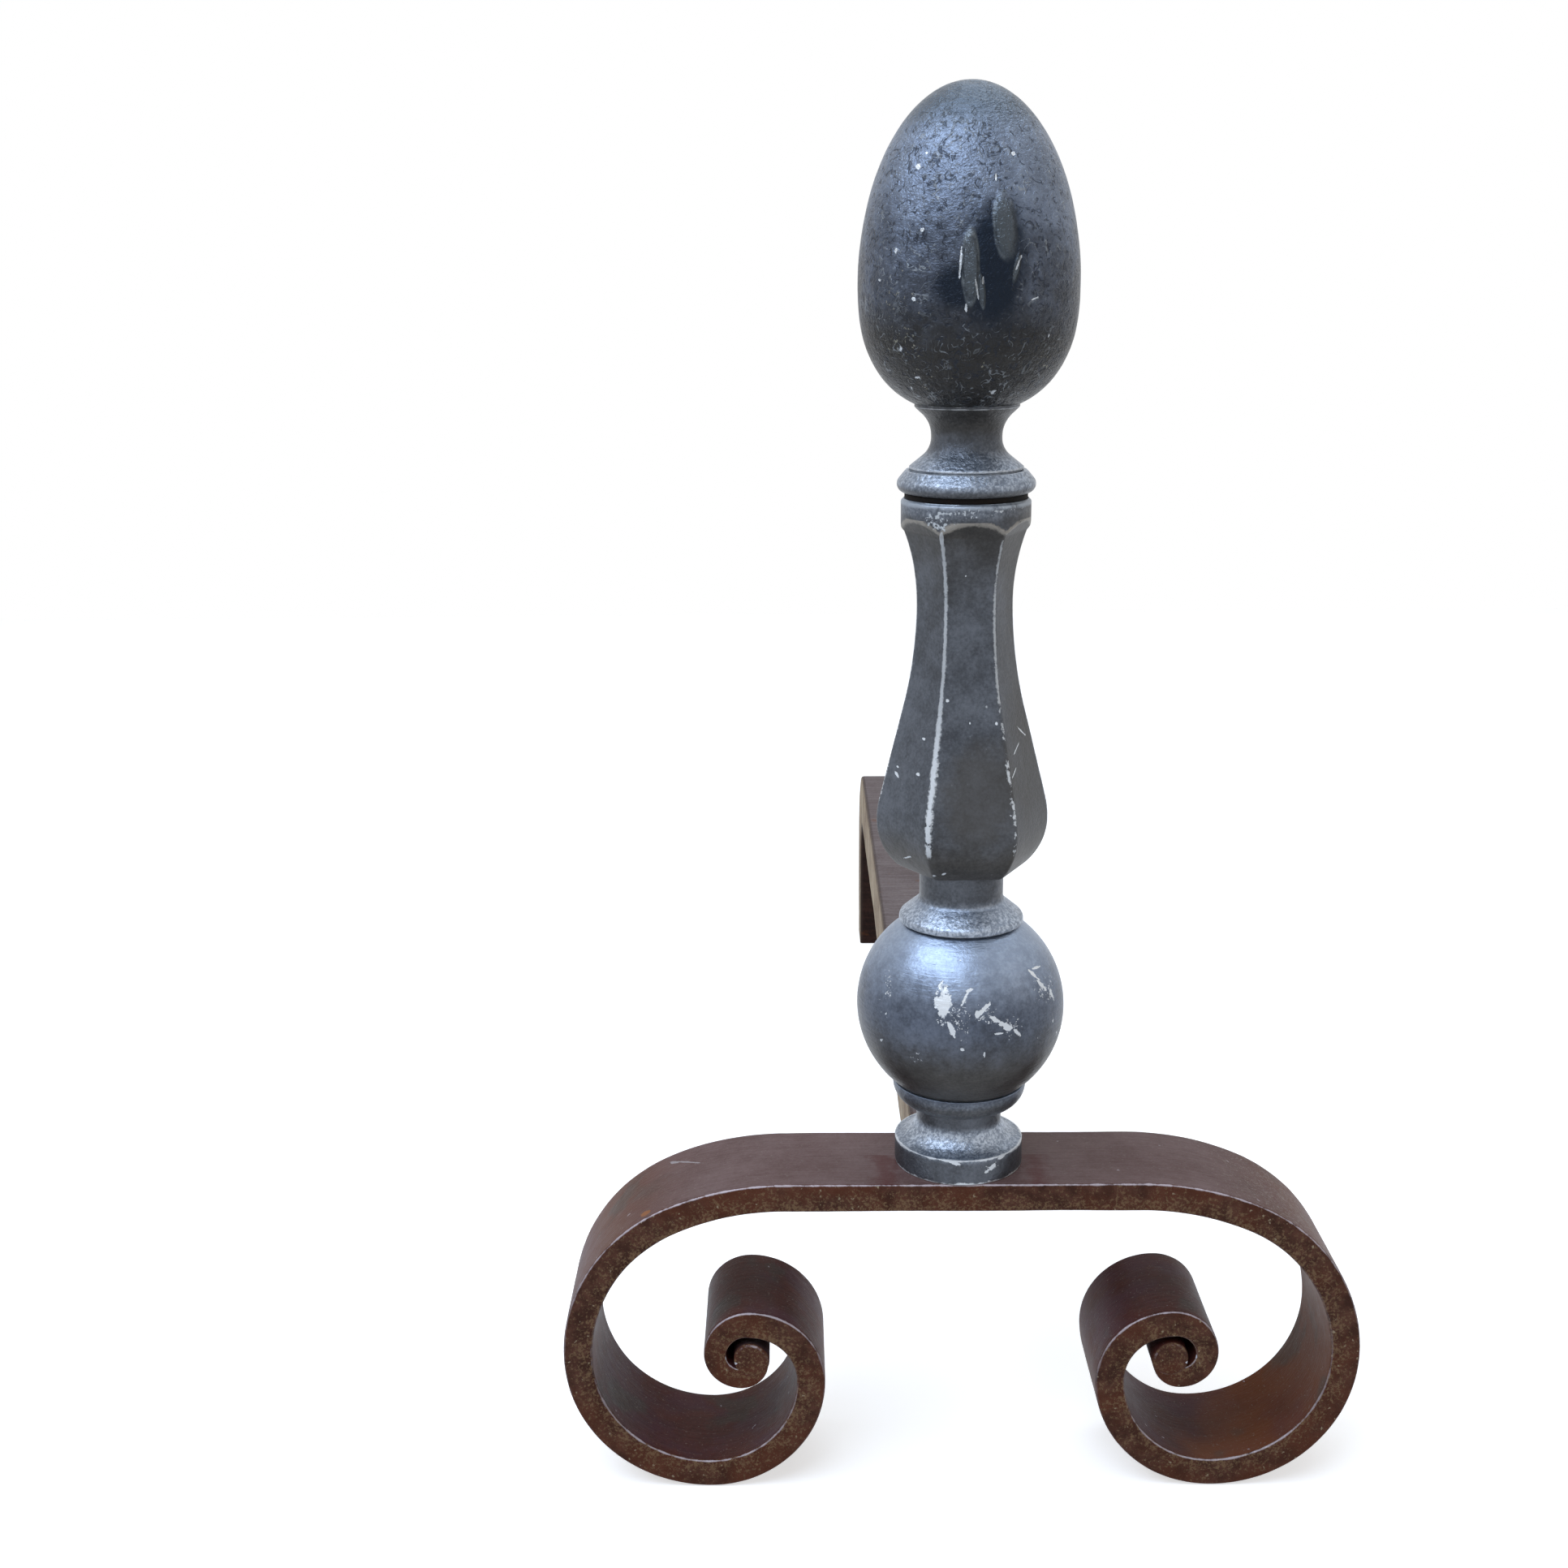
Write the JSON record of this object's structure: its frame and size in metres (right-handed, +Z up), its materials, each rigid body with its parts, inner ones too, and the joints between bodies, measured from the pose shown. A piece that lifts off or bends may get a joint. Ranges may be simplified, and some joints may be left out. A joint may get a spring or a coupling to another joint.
{
  "type": "andiron",
  "caption": "Andiron with a scrolled flat-bar foot, a square log bar bent down into a rear leg, and a baluster stem of stacked castings under an egg-shaped finial.",
  "frame": {"origin": "on the floor, at the middle of the andiron's outline seen from above", "axes": "+X to the right across the scrolled foot bar, +Y from the front along the log bar to the rear leg, +Z up along the stem"},
  "size_m": [0.2654, 0.5939, 0.4575],
  "materials": {
    "foot_iron": "satin",
    "log_iron": "matte",
    "stem_paint": "satin",
    "washer_iron": "matte",
    "rod_iron": "matte"
  },
  "bodies": {
    "root": {"foot_bar": "foot_iron", "log_bar": "log_iron", "pedestal": "stem_paint", "ball": "stem_paint", "neck_spool": "stem_paint", "baluster": "stem_paint", "spacer_washer": "washer_iron", "finial_cup": "stem_paint", "finial_egg": "stem_paint", "tie_rod": "rod_iron"}
  },
  "joints": []
}
